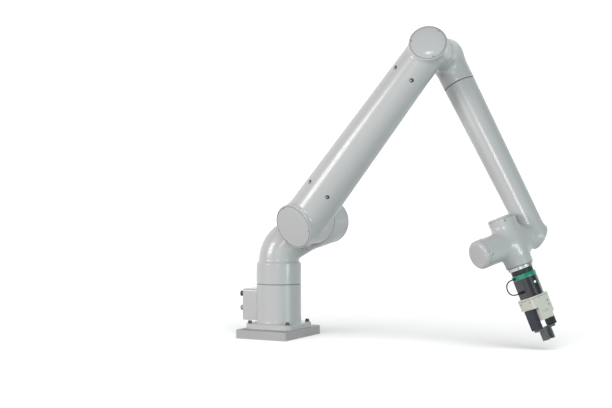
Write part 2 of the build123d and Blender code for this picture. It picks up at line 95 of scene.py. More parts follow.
class Finish:
    """A material. Even values go to the shader's own sockets, and node() adds whatever varies."""

    def __init__(self, name, **even):
        self.material = bpy.data.materials.new(name)
        self.material.use_nodes = True
        self.tree = self.material.node_tree
        self.shader = self.tree.nodes["Principled BSDF"]
        for socket, value in even.items():
            self.shader.inputs[socket.replace("_", " ")].default_value = value
        self.place = self.node("ShaderNodeTexCoord", out="Object")

    def node(self, kind, settings=None, inputs=None, out=0):
        made = self.tree.nodes.new(kind)
        for key, value in (settings or {}).items():
            setattr(made, key, value)
        for key, value in (inputs or {}).items():
            self.join(value, made.inputs[key])
        return Signal(self, made.outputs[out])

    def join(self, value, socket):
        if isinstance(value, Signal):
            self.tree.links.new(value.socket, socket)
        else:
            socket.default_value = value

    def noise(self, scale, detail=2.0, stretch=(1, 1, 1)):
        """Noise from 0 to 1 on object coordinates, scale cells to the metre.
        A stretch below 1 draws the cells out along that axis."""
        place = self.node("ShaderNodeMapping", {}, {"Vector": self.place, "Scale": stretch})
        return self.node("ShaderNodeTexNoise", {}, {"Vector": place, "Scale": scale, "Detail": detail})

    def tone(self, mask, first, second):
        """Colour that goes from first to second with a mask."""
        colours = {0: mask, 6: (*first, 1), 7: (*second, 1)}
        return self.node("ShaderNodeMix", {"data_type": "RGBA"}, colours, out=2)

    def show(self, **varying):
        for socket, value in varying.items():
            self.join(value, self.shader.inputs[socket.replace("_", " ")])
        return self

    def bump(self, height, depth, strength=1.0):
        """Fine relief: depth in metres of a height from 0 to 1."""
        relief = {"Height": height, "Distance": depth, "Strength": strength}
        return self.show(Normal=self.node("ShaderNodeBump", {}, relief))


floor_finish = Finish("pale_floor", Roughness=0.6)
floor_cloud = floor_finish.noise(0.7, 3.0)
floor_finish.show(Base_Color=floor_finish.tone(floor_cloud, (0.80, 0.80, 0.80), (0.84, 0.84, 0.84)))

sweep_half, sweep_front, sweep_back, sweep_bend, sweep_top = 40.0, 40.0, 4.2, 2.2, 12.0
bend_turn = np.linspace(0, np.pi / 2, 40)
bend_run = sweep_back + sweep_bend * np.sin(bend_turn)
bend_rise = sweep_bend * (1 - np.cos(bend_turn))
sweep_run = np.concatenate([[-sweep_front], bend_run, [sweep_back + sweep_bend]])
sweep_rise = np.concatenate([[0.0], bend_rise, [sweep_top]])
across = np.array([-sweep_half, sweep_half])
sheet = (
    sweep_run[:, None, None] * view_ahead
    + across[None, :, None] * view_right
    + sweep_rise[:, None, None] * up
)
sheet_rows = 2 * np.arange(len(sweep_run) - 1)
sheet_faces = np.stack([sheet_rows, sheet_rows + 1, sheet_rows + 3, sheet_rows + 2], 1)
floor_sweep = put_mesh("floor_sweep", sheet.reshape(-1, 3), sheet_faces.tolist(), floor_finish.material)
floor_sweep.visible_diffuse = False

# The camera stands level in front of the arm's left side, about four metres off.
# Its frame is moved up a little, so that the horizon lies just below the middle.
focal_px, frame_px, horizon_px, middle_px = 1000.0, 612.0, 217.15, 204.0
eye_right, eye_back, eye_height = 0.10932, 4.0319, 0.4784
camera = bpy.data.cameras.new("camera")
camera.sensor_fit = "HORIZONTAL"
camera.lens = focal_px / frame_px * camera.sensor_width
camera.shift_y = (horizon_px - middle_px) / frame_px
camera.clip_end = 60.0
camera_object = bpy.data.objects.new("camera", camera)
camera_object.location = eye_right * view_right - eye_back * view_ahead + eye_height * up
camera_object.rotation_euler = (np.pi / 2, 0, view_turn)
bpy.context.scene.collection.objects.link(camera_object)
bpy.context.scene.camera = camera_object

# Soft studio light: a large lamp low on the left, one beside the camera, a cool one low on the right
# and one behind, with a small one high up for the bright spot on the elbow cover. They light the arm
# alone. The floor and wall have a light of their own, and the sky is dim but looks pale.
aim = np.array([0.45, 0.0, 0.55])
base_aim = np.array([0.1, 0.0, 0.4])
elbow_aim = np.array([0.67, -0.1, 1.1])
floor_alone = bpy.data.collections.new("floor_alone")
arm_alone = bpy.data.collections.new("arm_alone")
for lit in (floor_alone, arm_alone):
    lit.objects.link(floor_sweep)
arm_alone.collection_objects[0].light_linking.link_state = "EXCLUDE"
for lamp_name, right_of, before, height, size, power, colour, target in (
    ("key_lamp", -3.7, 1.9, 1.5, 1.4, 82.0, (1.0, 0.98, 0.965), aim),
    ("front_lamp", -0.9, 3.9, 1.4, 1.0, 42.0, (1.0, 0.985, 0.98), aim),
    ("side_lamp", 2.7, 2.7, 0.35, 1.1, 46.0, (0.74, 0.96, 0.94), base_aim),
    ("back_lamp", -0.4, -4.0, 1.8, 1.6, 86.0, (1.0, 0.99, 0.98), aim),
    ("spark_lamp", -0.52, 2.95, 3.62, 0.17, 5.2, (1.0, 1.0, 1.0), elbow_aim),
):
    lamp_data = bpy.data.lights.new(lamp_name, "AREA")
    lamp_data.size, lamp_data.energy, lamp_data.color = size, power, colour
    lamp_object = bpy.data.objects.new(lamp_name, lamp_data)
    lamp_spot = aim * (1, 1, 0) + right_of * view_right - before * view_ahead + height * up
    lamp_object.location = lamp_spot
    lamp_object.visible_camera = False
    lamp_object.visible_glossy = lamp_name != "back_lamp"
    lamp_object.light_linking.receiver_collection = arm_alone
    lamp_object.rotation_euler = Vector(target - lamp_spot).to_track_quat("-Z", "Y").to_euler()
    bpy.context.scene.collection.objects.link(lamp_object)
backdrop_data = bpy.data.lights.new("backdrop_light", "SUN")
backdrop_data.energy, backdrop_data.angle = 4.4, np.radians(75)
backdrop_light = bpy.data.objects.new("backdrop_light", backdrop_data)
backdrop_light.rotation_euler = Vector(view_ahead - up).to_track_quat("-Z", "Y").to_euler()
backdrop_light.light_linking.receiver_collection = floor_alone
bpy.context.scene.collection.objects.link(backdrop_light)
sky = bpy.data.worlds.new("sky")
sky.use_nodes = True
sky_tree = sky.node_tree
sky_lit = sky_tree.nodes["Background"]
sky_lit.inputs["Color"].default_value = (0.96, 0.98, 1.0, 1)
sky_lit.inputs["Strength"].default_value = 0.30
sky_seen = sky_tree.nodes.new("ShaderNodeBackground")
sky_seen.inputs["Color"].default_value = (0.985, 0.99, 0.99, 1)
sky_choice = sky_tree.nodes.new("ShaderNodeMixShader")
sky_ray = sky_tree.nodes.new("ShaderNodeLightPath")
sky_tree.links.new(sky_ray.outputs["Is Camera Ray"], sky_choice.inputs[0])
sky_tree.links.new(sky_lit.outputs[0], sky_choice.inputs[1])
sky_tree.links.new(sky_seen.outputs[0], sky_choice.inputs[2])
sky_tree.links.new(sky_choice.outputs[0], sky_tree.nodes["World Output"].inputs["Surface"])
bpy.context.scene.world = sky
bpy.context.scene.view_settings.view_transform = "Standard"

# Mounting plate: a thick aluminium plate, ground flat, with a bolt hole near each corner.
# The plate keeps its solid; the grinding shows as fine straight lines along it.
plate_finish = Finish("ground_plate", Metallic=0.55, Specular_IOR_Level=0.5)
grind = plate_finish.noise(420.0, 3.0, (1.0, 0.03, 1.0))
plate_smudge = plate_finish.noise(9.0, 4.0)
plate_finish.show(
    Base_Color=plate_finish.tone(plate_smudge, (0.34, 0.34, 0.335), (0.42, 0.42, 0.41)),
    Roughness=0.36 + 0.18 * grind + 0.08 * plate_smudge,
)
plate_finish.bump(grind, 0.00004)

crease_turn, same_point = np.radians(28), 0.00001
shading = bpy.data.node_groups.new("even_shading", "GeometryNodeTree")
shading.interface.new_socket("Geometry", in_out="INPUT", socket_type="NodeSocketGeometry")
shading.interface.new_socket("Geometry", in_out="OUTPUT", socket_type="NodeSocketGeometry")
shade_in = shading.nodes.new("NodeGroupInput")
shade_out = shading.nodes.new("NodeGroupOutput")
joined = shading.nodes.new("GeometryNodeMergeByDistance")
joined.inputs["Distance"].default_value = same_point
rounded = shading.nodes.new("GeometryNodeSetShadeSmooth")
creased = shading.nodes.new("GeometryNodeSetShadeSmooth")
creased.domain = "EDGE"
creased.inputs["Shade Smooth"].default_value = False
fold = shading.nodes.new("GeometryNodeInputMeshEdgeAngle")
sharp = shading.nodes.new("FunctionNodeCompare")
sharp.inputs[1].default_value = crease_turn
for source, target in (
    (shade_in.outputs[0], joined.inputs["Geometry"]),
    (joined.outputs[0], rounded.inputs["Geometry"]),
    (rounded.outputs[0], creased.inputs["Geometry"]),
    (fold.outputs[0], sharp.inputs[0]),
    (sharp.outputs[0], creased.inputs["Selection"]),
    (creased.outputs[0], shade_out.inputs[0]),
):
    shading.links.new(source, target)


def dress(node, finish):
    """Gives a carried-over solid its finish, and shades its round faces smoothly."""
    solid = nodes[node]
    solid.data.materials.clear()
    solid.data.materials.append(finish.material)
    solid.modifiers.new("even_shading", "NODES").node_group = shading


dress("mounting_plate", plate_finish)

# Base housing: a square foot and a round column, cast in aluminium and painted light grey.
# The satin paint has a faint orange peel and slight clouds in its gloss.
paint = Finish("light_grey_paint", Coat_Weight=0.30, Coat_Roughness=0.10, Specular_IOR_Level=0.5)
paint_cloud = paint.noise(2.6, 3.0)
paint_wipe = paint.noise(24.0, 4.0, (1.0, 1.0, 0.35))
paint_peel = paint.noise(700.0, 1.0)
paint.show(
    Base_Color=paint.tone(paint_cloud, (0.525, 0.530, 0.532), (0.568, 0.572, 0.573)),
    Roughness=0.25 + 0.10 * paint_wipe + 0.06 * paint_cloud,
)
paint.bump(paint_peel, 0.000035, 0.6)
dress("base_housing", paint)

# Foot bolts: blackened socket-head screws with washers, one in each corner of the foot.
# Each head has a rounded rim and a hexagon socket.
foot_top, foot_bolt_at = 0.055, 0.085
bolt_finish = Finish("blackened_steel", Metallic=0.85)
bolt_wear = bolt_finish.noise(380.0, 3.0)
bolt_finish.show(
    Base_Color=bolt_finish.tone(bolt_wear, (0.055, 0.056, 0.06), (0.16, 0.16, 0.165)),
    Roughness=0.34 + 0.2 * bolt_wear,
)
bolt_rows = [
    (0.0005, 0.0), (0.0105, 0.0), (0.0105, 0.0014), (0.0102, 0.0018), (0.0080, 0.0018),
    (0.0080, 0.0090), (0.0074, 0.0101), (0.0066, 0.0105), (0.0046, 0.0105, 1),
    (0.0044, 0.0101, 1), (0.0043, 0.0055, 1), (0.0005, 0.0045, 1),
]
off_axis = (0.31, 0.87, 0.38)


def unit(v):
    """A vector, divided by its length."""
    v = np.asarray(v, float)
    return v / np.linalg.norm(v)


def turned_points(rows, origin, axis, turns):
    """Rows of (radius, height, share of a hexagon) carried round an axis.
    A point at angle t lies at radius / cos(t folded into one sixth) where the row is a hexagon."""
    axis = unit(axis)
    first = unit(np.cross(axis, off_axis))
    second = np.cross(axis, first)
    rows = np.array([tuple(row) + (0.0,) * (3 - len(row)) for row in rows])
    angle = np.linspace(0, 2 * np.pi, turns, endpoint=False)
    sixth = np.mod(angle, np.pi / 3) - np.pi / 6
    hexagon = np.cos(np.pi / 6) / np.cos(sixth)
    radius = rows[:, :1] * (1 + rows[:, 2:] * (hexagon - 1))
    ring = np.cos(angle)[:, None] * first + np.sin(angle)[:, None] * second
    return np.asarray(origin) + radius[..., None] * ring + rows[:, 1][:, None, None] * axis


def closed_rows(name, points, finish, ring=False):
    """Rows of points, each a closed loop, joined by quads.
    A ring's last row joins its first, and any other piece is closed by a point at each end."""
    count, turns = points.shape[:2]
    flat = points.reshape(-1, 3)
    row, col = np.meshgrid(np.arange(count if ring else count - 1), np.arange(turns), indexing="ij")
    after, above = (col + 1) % turns, (row + 1) % count
    corners = [row * turns + col, row * turns + after, above * turns + after, above * turns + col]
    faces = np.stack(corners, -1).reshape(-1, 4).tolist()
    if not ring:
        step = np.arange(turns)
        last = (count - 1) * turns
        low = np.stack([np.full(turns, len(flat)), (step + 1) % turns, step], 1)
        high = np.stack([np.full(turns, len(flat) + 1), last + step, last + (step + 1) % turns], 1)
        flat = np.concatenate([flat, [points[0].mean(0), points[-1].mean(0)]])
        faces += low.tolist() + high.tolist()
    return put_mesh(name, flat, faces, finish.material)


def turned(name, rows, origin, axis, finish, turns=24):
    """A turned piece, closed by a point at each end."""
    piece = closed_rows(name, turned_points(rows, origin, axis, turns), finish)
    piece.modifiers.new("even_shading", "NODES").node_group = shading
    return piece


for x_name, hand_x in (("left", -1), ("right", 1)):
    for y_name, hand_y in (("near", -1), ("far", 1)):
        corner = (hand_x * foot_bolt_at, hand_y * foot_bolt_at, foot_top)
        bolt = turned(f"foot_bolt_{x_name}_{y_name}", bolt_rows, corner, up, bolt_finish, turns=48)
        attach(bolt, "base")

# Connector box behind the column: a painted cover with a grey panel, two sockets and a cable gland.
# The sockets are moulded, and the gland is grey plastic with a gripping cone.
# This black plastic also serves the upper arm's screw recesses as painted shade.
dark_plastic_and_hole_shade = Finish("satin_black_plastic_and_hole_shade", Specular_IOR_Level=0.45)
dark_grain = dark_plastic_and_hole_shade.noise(1500.0, 2.0)
dark_scuff = dark_plastic_and_hole_shade.noise(40.0, 4.0)
dark_plastic_and_hole_shade.show(
    Base_Color=dark_plastic_and_hole_shade.tone(dark_scuff, (0.012, 0.012, 0.014), (0.022, 0.022, 0.025)),
    Roughness=0.38 + 0.16 * dark_scuff,
)
dark_plastic_and_hole_shade.bump(dark_grain, 0.00003)
grey_plastic = Finish("matte_grey_plastic")
grey_cloud = grey_plastic.noise(60.0, 3.0)
grey_plastic.show(
    Base_Color=grey_plastic.tone(grey_cloud, (0.30, 0.30, 0.31), (0.36, 0.36, 0.37)),
    Roughness=0.5 + 0.15 * grey_cloud,
)
grey_plastic.bump(grey_plastic.noise(1300.0, 2.0), 0.00003)
dress("connector_box", paint)
dress("connector_panel", grey_plastic)
dress("power_socket", dark_plastic_and_hole_shade)
dress("signal_socket", dark_plastic_and_hole_shade)
dress("cable_gland", grey_plastic)
panel_low, panel_high = (np.array(c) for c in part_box("connector_panel"))
panel_inset = 0.007
panel_screw_rows = [
    (0.0003, -0.001), (0.0034, -0.001), (0.0034, 0.0008), (0.0028, 0.0014),
    (0.0016, 0.0014, 1), (0.0015, 0.0004, 1), (0.0003, 0.0004, 1),
]
for y_name, panel_y in (("near", panel_low[1] + panel_inset), ("far", panel_high[1] - panel_inset)):
    for z_name, panel_z in (("low", panel_low[2] + panel_inset), ("high", panel_high[2] - panel_inset)):
        spot = (panel_low[0], panel_y, panel_z)
        screw_name = f"panel_screw_{z_name}_{y_name}"
        screw = turned(screw_name, panel_screw_rows, spot, (-1, 0, 0), bolt_finish)
        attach(screw, "base")

# Lip seals between the links: rubber rings pressed into the joints, which show as thin lines.
# The one at the top of the forearm is dark, and the others are grey.
seal_rubber = Finish("seal_rubber", Specular_IOR_Level=0.3)
seal_dust = seal_rubber.noise(180.0, 3.0)
seal_rubber.show(
    Base_Color=seal_rubber.tone(seal_dust, (0.060, 0.062, 0.064), (0.115, 0.118, 0.12)),
    Roughness=0.62 + 0.2 * seal_dust,
)
seal_rubber.bump(seal_dust, 0.00005)
# This pale rubber also serves the wrist's seam lines as painted shade.
pale_rubber_and_seam_shade = Finish("pale_seal_rubber_and_seam_shade", Specular_IOR_Level=0.3)
pale_dust = pale_rubber_and_seam_shade.noise(180.0, 3.0)
pale_rubber_and_seam_shade.show(
    Base_Color=pale_rubber_and_seam_shade.tone(pale_dust, (0.25, 0.26, 0.26), (0.32, 0.33, 0.33)),
    Roughness=0.55 + 0.2 * pale_dust,
)
pale_rubber_and_seam_shade.bump(pale_dust, 0.00005)
for seal, rubber in (
    ("base_seal", pale_rubber_and_seam_shade), ("shoulder_seal", pale_rubber_and_seam_shade), ("elbow_seal", pale_rubber_and_seam_shade),
    ("forearm_seal", seal_rubber), ("wrist_seal", pale_rubber_and_seam_shade), ("tool_seal", pale_rubber_and_seam_shade),
):
    dress(seal, rubber)

# Turret: a cast body that turns on the base, with a bent neck that flows into the shoulder housing.
# A saddle in front of the housing leaves room for the upper arm's end.
side_axis = np.array([0, 1.0, 0])
shoulder = np.array([0.150, -0.075, 0.461])
shoulder_line = np.array([shoulder[0], 0.0, shoulder[2]])


def bar(p, start, end, first_r, last_r, edge):
    """Distance from points to a round bar with flat ends, tapered evenly, its edges rounded.
    Distance is measured in the plane of radius and length, as to a rectangle with round corners."""
    along = unit(end - start)
    length = np.linalg.norm(end - start)
    offset = p - start
    far = offset @ along
    radial = np.linalg.norm(offset - far[..., None] * along, axis=-1)
    radius = first_r + (last_r - first_r) * np.clip(far / length, 0, 1)
    wide = radial - radius + edge
    deep = np.abs(far - length / 2) - length / 2 + edge
    outside = np.hypot(np.maximum(wide, 0), np.maximum(deep, 0))
    return np.minimum(np.maximum(wide, deep), 0) + outside - edge


def flow(first, second, width):
    """Joins two solids, with a soft fillet where their distances are within width of each other."""
    share = np.clip(0.5 + 0.5 * (second - first) / width, 0, 1)
    return second + (first - second) * share - width * share * (1 - share)


def carve(solid, cutter, width):
    """Cuts one solid out of another, with a soft edge."""
    return -flow(-solid, cutter, width)


def cast(name, centres, rays, solid, reach, finish, halvings=26):
    """A casting's skin. From each centre a ray goes out, and halving finds where it leaves the solid."""
    inside = np.zeros(rays.shape[:2])
    outside = np.full(rays.shape[:2], reach)
    for _ in range(halvings):
        middle = (inside + outside) / 2
        within = solid(centres[:, None, :] + rays * middle[..., None]) < 0
        inside = np.where(within, middle, inside)
        outside = np.where(within, outside, middle)
    return closed_rows(name, centres[:, None, :] + rays * inside[..., None], finish)


def ray_rows(centres, tangents, tilts, across_axis, turns):
    """Rays about each centre, which has a tangent of its own or shares one with the others.
    Tilt 0 is straight out from the tangent, and a quarter turn lies along it."""
    tangents = np.broadcast_to(tangents, centres.shape)
    angle = np.linspace(0, 2 * np.pi, turns, endpoint=False)[None, :, None]
    normal = np.cross(across_axis, tangents)
    round_dir = np.cos(angle) * normal[:, None, :] + np.sin(angle) * across_axis
    tilts = tilts[:, None, None]
    return np.cos(tilts) * round_dir + np.sin(tilts) * tangents[:, None, :]


turret_low, turret_high, turret_r, turret_chamfer = 0.2123, 0.303, 0.090, 0.009
body_edge, collar_edge, collar_lap = 0.0012, 0.0005, 0.0004
neck_r, neck_bend, neck_face, neck_sink, neck_fillet = 0.081, 0.097, 0.018, 0.03, 0.004
housing_face, housing_back, housing_r = 0.0183, 0.142, 0.090
housing_edge, housing_fillet = 0.0015, 0.036
saddle_r, saddle_edge, saddle_fillet = 0.1129, 0.002, 0.004
relief_r, relief_edge, relief_fillet = 0.093, 0.004, 0.012
lean_back, cut_reach = np.radians(60.0), 0.4
lean_back_axis = np.array([-np.sin(lean_back), 0, np.cos(lean_back)])
neck_end = np.array([shoulder[0], (neck_face + housing_back) / 2, shoulder[2]])
neck_heading = unit((neck_end[0], neck_end[1], 0))
neck_across = np.cross(up, neck_heading)
neck_goal = np.array([np.hypot(neck_end[0], neck_end[1]), neck_end[2] - turret_high])
past_bend, neck_rise = neck_goal[0] - neck_bend, neck_goal[1]
tangent_run = np.hypot(past_bend, neck_rise)
neck_stop_angle = np.arctan2(neck_rise, past_bend) + np.arccos(neck_bend / tangent_run)
neck_turn = np.pi - neck_stop_angle
bend_end = np.array([neck_bend * (1 - np.cos(neck_turn)), neck_bend * np.sin(neck_turn)])
straight = neck_goal - bend_end
straight_stop = 0.86


def neck_distance(p):
    """Distance to a tube round an arc that rises from the turret and the straight run after it."""
    run, rise, off = p @ neck_heading, p[..., 2] - turret_high, p @ neck_across
    angle = np.clip(np.arctan2(rise, run - neck_bend), neck_stop_angle, np.pi)
    angle = np.where((rise < 0) & (run < neck_bend), np.pi, angle)
    on_arc = np.hypot(run - neck_bend - neck_bend * np.cos(angle), rise - neck_bend * np.sin(angle))
    past_run, past_rise = run - bend_end[0], rise - bend_end[1]
    share = (past_run * straight[0] + past_rise * straight[1]) / (straight @ straight)
    share = np.clip(share, 0, straight_stop)
    on_run = np.hypot(past_run - share * straight[0], past_rise - share * straight[1])
    return np.hypot(np.minimum(on_arc, on_run), off) - neck_r


def turret_solid(p):
    """Body, chamfered collar, neck and housing, less the saddle and the room for leaning back."""
    body_top = turret_high - turret_chamfer
    body = bar(p, up * turret_low, up * (body_top + collar_lap), turret_r, turret_r, body_edge)
    collar = bar(p, up * body_top, up * turret_high, turret_r, neck_r, collar_edge)
    neck = np.maximum(neck_distance(p), turret_high - neck_sink - p[..., 2])
    front, back = (shoulder_line + side_axis * face for face in (housing_face, housing_back))
    housing = bar(p, front, back, housing_r, housing_r, housing_edge)
    whole = flow(flow(np.minimum(body, collar), neck, neck_fillet), housing, housing_fillet)
    whole = np.maximum(whole, p[..., 1] - housing_back)
    saddle = bar(p, shoulder_line - side_axis * cut_reach, front, saddle_r, saddle_r, saddle_edge)
    relief = bar(p, shoulder, shoulder + lean_back_axis * cut_reach, relief_r, relief_r, relief_edge)
    return carve(carve(whole, saddle, saddle_fillet), relief, relief_fillet)


fan_count, pole_gap = 90, 0.01
lip_start, lip_depth, lip_end, collar_gap = 0.0002, 0.0015, 0.004, 0.002
climb = np.concatenate([
    turret_low + lip_start + lip_depth * np.linspace(0, 1, 5) ** 2,
    np.linspace(turret_low + lip_end, turret_high - collar_gap, 44),
])
bend_rows = np.linspace(0, neck_turn, 70)
run_rows = np.linspace(0.02, 0.80, 34)
fan_rows = np.linspace(pole_gap, np.pi / 2 - pole_gap, fan_count)
arc_centre = np.stack([neck_bend * (1 - np.cos(bend_rows)), neck_bend * np.sin(bend_rows)], 1)
arc_tangent = np.stack([np.sin(bend_rows), np.cos(bend_rows)], 1)
run_centre = bend_end + run_rows[:, None] * straight
climb_centre = np.stack([np.zeros(len(climb)), climb - turret_high], 1)
fan_centre = np.repeat(run_centre[-1:], fan_count, 0)
plan = np.concatenate([climb_centre, arc_centre, run_centre, fan_centre])
climb_tangent = np.tile([0.0, 1.0], (len(climb), 1))
end_tangent = np.tile(arc_tangent[-1], (len(run_rows) + fan_count, 1))
plan_tangent = np.concatenate([climb_tangent, arc_tangent, end_tangent])
turret_centres = plan[:, :1] * neck_heading + plan[:, 1:] * up + turret_high * up
turret_tangents = plan_tangent[:, :1] * neck_heading + plan_tangent[:, 1:] * up
turret_tilts = np.concatenate([np.zeros(len(plan) - fan_count), fan_rows])
turret_rays = ray_rows(turret_centres, turret_tangents, turret_tilts, neck_across, turns=220)
turret = cast("turret_skin", turret_centres, turret_rays, turret_solid, reach=0.26, finish=paint)
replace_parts(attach(turret, "turret"), "turret_casting")
dress("shoulder_rear_cover", paint)

# Upper arm: a tapered casting whose ends turn into the shoulder and the elbow.
# Each outer corner ends in a flat, tilted rim that a round cover closes.
lean, cover_tilt = np.radians((39.2, 25.5))
arm_axis = np.array([np.sin(lean), 0, np.cos(lean)])
arm_length, arm_low_r, arm_high_r, arm_edge = 0.815, 0.088, 0.070, 0.01
low_stub_r, low_stub_run, low_stub_edge, low_fillet = 0.0893, 0.0921, 0.001, 0.004
high_stub_inset, high_stub_run, high_stub_edge, high_fillet = 0.004, 0.072, 0.002, 0.006
cover_rim, boss_proud, boss_edge, boss_fillet, low_boss_grow = 0.004, 0.004, 0.003, 0.010, 0.0012
elbow = shoulder + arm_axis * arm_length


def rim(centre, joint_axis, tip_axis, tube_r, cover_r, tilt=cover_tilt):
    """A tilted cover's direction and the middle of its rim, set so that the rim just clears the tube."""
    direction = joint_axis * np.cos(tilt) + tip_axis * np.sin(tilt)
    height = (tube_r - cover_r * np.sin(tilt)) / np.cos(tilt) + boss_proud
    return direction, centre + direction * height


def bossed(solid, p, centre, direction, seat, boss_r):
    """Adds a tilted cover's boss to a solid, and cuts the whole off at the boss's rim."""
    boss = bar(p, centre, seat, boss_r, boss_r, boss_edge)
    return np.maximum(flow(solid, boss, boss_fillet), (p - seat) @ direction)


low_cover_dir, low_seat = rim(shoulder, -side_axis, -arm_axis, arm_low_r, arm_low_r - cover_rim)
high_cover_dir, high_seat = rim(elbow, -side_axis, arm_axis, arm_high_r, arm_high_r - cover_rim)


def upper_arm_solid(p):
    """Tapered tube, a joint stub towards the far side at each end, and the two cover bosses."""
    high_stub_r = arm_high_r - high_stub_inset
    tube = bar(p, shoulder, elbow, arm_low_r, arm_high_r, arm_edge)
    low_end, high_end = shoulder + side_axis * low_stub_run, elbow + side_axis * high_stub_run
    low_stub = bar(p, shoulder, low_end, low_stub_r, low_stub_r, low_stub_edge)
    high_stub = bar(p, elbow, high_end, high_stub_r, high_stub_r, high_stub_edge)
    whole = flow(flow(tube, low_stub, low_fillet), high_stub, high_fillet)
    whole = bossed(whole, p, shoulder, low_cover_dir, low_seat, arm_low_r + low_boss_grow)
    whole = bossed(whole, p, elbow, high_cover_dir, high_seat, arm_high_r)
    return np.maximum(whole, np.maximum(cad_box[0][1] - p[..., 1], p[..., 2] - cad_box[1][2]))


def link_rows(start, end, fan_first, spacing):
    """Centres and tilts for a link: a fan of rays about its start, if it has one,
    rows along it by their shares of its length, and a fan about its end."""
    fan = np.linspace(-np.pi / 2 + pole_gap, -2 * pole_gap, fan_count)
    first_fan = fan if fan_first else fan[:0]
    share = np.concatenate([np.zeros(len(first_fan)), spacing, np.ones(fan_count)])
    tilts = np.concatenate([first_fan, np.zeros(len(spacing)), -fan[::-1]])
    return start + share[:, None] * (end - start), tilts


arm_spacing = np.concatenate([
    np.linspace(0, 0.16, 54), np.linspace(0.18, 0.82, 20), np.linspace(0.84, 1.0, 54),
])
arm_centres, arm_tilts = link_rows(shoulder, elbow, True, arm_spacing)
arm_rays = ray_rows(arm_centres, arm_axis, arm_tilts, side_axis, turns=220)
upper_arm = cast("upper_arm_skin", arm_centres, arm_rays, upper_arm_solid, reach=0.2, finish=paint)
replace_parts(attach(upper_arm, "upper_arm"), "upper_arm_casting")

# Covers: round, slightly crowned, set flush in their rims, with a thin dark ring of painted shadow standing
# for the gap round each.
# Three small screws hold each one near its edge.
# Painted shadow: the shadow_gap finish is a near-black colour, mottled at random, that stands for the shade
# in narrow gaps and seams.
gap_finish = Finish("shadow_gap", Roughness=0.9, Specular_IOR_Level=0.1)
gap_shadow_mottle = gap_finish.noise(240.0, 2.0)
gap_finish.show(Base_Color=gap_finish.tone(gap_shadow_mottle, (0.035, 0.037, 0.038), (0.075, 0.077, 0.078)))
gap_width, gap_proud, gap_inset = 0.0017, 0.0002, 0.0012
cover_crown, sunk, screw_inset, core_r, core_share = 0.003, 0.002, 0.0075, 0.0005, 0.01
screw_rows = [
    (0.0003, -0.003), (0.0036, -0.003), (0.0036, -0.0002), (0.0033, 0.0001),
    (0.0019, 0.0001, 1), (0.0018, -0.0016, 1), (0.0003, -0.0018, 1),
]


def add_screw(name, body, spot, direction):
    """A small socket screw that rides on a body, its head's top at the spot."""
    screw = turned(name, screw_rows, spot, direction, bolt_finish)
    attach(screw, body)


def line_ring(name, body, origin, direction, radius):
    """A thin dark ring that stands for the shadow in a narrow gap: a low arch turned about an axis."""
    half = gap_width / 2
    arch = [(radius - half * np.cos(t), gap_proud * np.sin(t)) for t in np.linspace(0, np.pi, 9)]
    rows = [(radius - half, -sunk)] + arch + [(radius + half, -sunk)]
    points = turned_points(rows[::-1], origin, direction, turns=160)
    ring = closed_rows(name, points, gap_finish, ring=True)
    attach(ring, body)


def close_cover(node, body, seat, direction, cover_r, screw_turn):
    """Makes a cover whose crown falls off with the fourth power of its radius.
    A dark ring of painted shadow lies round it, and three screws near its edge."""
    ring_r, reach = cover_r - gap_inset, cover_r - screw_inset
    ring_rise, screw_rise = (cover_crown * (1 - (r / cover_r) ** 4) for r in (ring_r, reach))
    cover_rows = [(core_r, -sunk), (cover_r, -sunk)]
    shares = np.linspace(1, core_share, 48)
    cover_rows += [(cover_r * share, cover_crown * (1 - share**4)) for share in shares]
    cover_points = turned_points(cover_rows, seat, direction, turns=144)
    cover = closed_rows(f"{node}_skin", cover_points, paint)
    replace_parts(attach(cover, body), node)
    line_ring(f"{node}_gap", body, seat + ring_rise * direction, direction, ring_r)
    first = unit(np.cross(direction, np.cross(direction, up)))
    second = np.cross(direction, first)
    for count in range(3):
        turn = screw_turn + count * 2 * np.pi / 3
        out = np.cos(turn) * first + np.sin(turn) * second
        add_screw(f"{node}_screw_{count}", body, seat + reach * out + screw_rise * direction, direction)


close_cover("shoulder_cover", "upper_arm", low_seat, low_cover_dir, arm_low_r - cover_rim, screw_turn=1.37)
close_cover("elbow_cover", "upper_arm", high_seat, high_cover_dir, arm_high_r - cover_rim, screw_turn=0.355)

# Screw recesses: four recesses over the assembly screws, two near each end of the upper arm.
# Each is a round disc of painted shade in the black plastic finish,
# with a smaller grey head set off towards its edge.
hole_shade_rows = [
    (0.0003, -0.005), (0.0080, -0.005), (0.0080, 0.0001), (0.0076, 0.0004), (0.0003, 0.0004),
]
hole_shade_head_rows = [
    (0.0003, -0.002), (0.0038, -0.002), (0.0038, 0.0008), (0.0033, 0.0012),
    (0.0018, 0.0012, 1), (0.0017, 0.0003, 1), (0.0003, 0.0003, 1),
]
hole_shade_spread, head_shift, head_slant = np.radians(34.0), 0.0026, 0.4
for end_name, place in (("low", 0.158), ("high", 0.696)):
    tube_r = arm_low_r + (arm_high_r - arm_low_r) * place / arm_length
    for edge_name, hand in (("upper", -1), ("lower", 1)):
        across_arm = hand * np.sin(hole_shade_spread) * np.cross(side_axis, arm_axis)
        out = across_arm - side_axis * np.cos(hole_shade_spread)
        spot = shoulder + arm_axis * place + out * tube_r
        hole_shade_name = f"arm_plug_{end_name}_{edge_name}"
        # The disc is painted shade: its black plastic stands for the shade inside the recess.
        hole_shade = turned(hole_shade_name, hole_shade_rows, spot, out, dark_plastic_and_hole_shade, turns=36)
        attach(hole_shade, "upper_arm")
        # The head is pushed towards the lower left as seen from the camera, so that the painted shade shows
        # as a dark crescent above it.
        lower_left = unit(np.cross(np.cross(out, -view_right - head_slant * arm_axis), out))
        head_spot = spot + head_shift * lower_left
        head = turned(f"{hole_shade_name}_head", hole_shade_head_rows, head_spot, out, paint, turns=36)
        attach(head, "upper_arm")

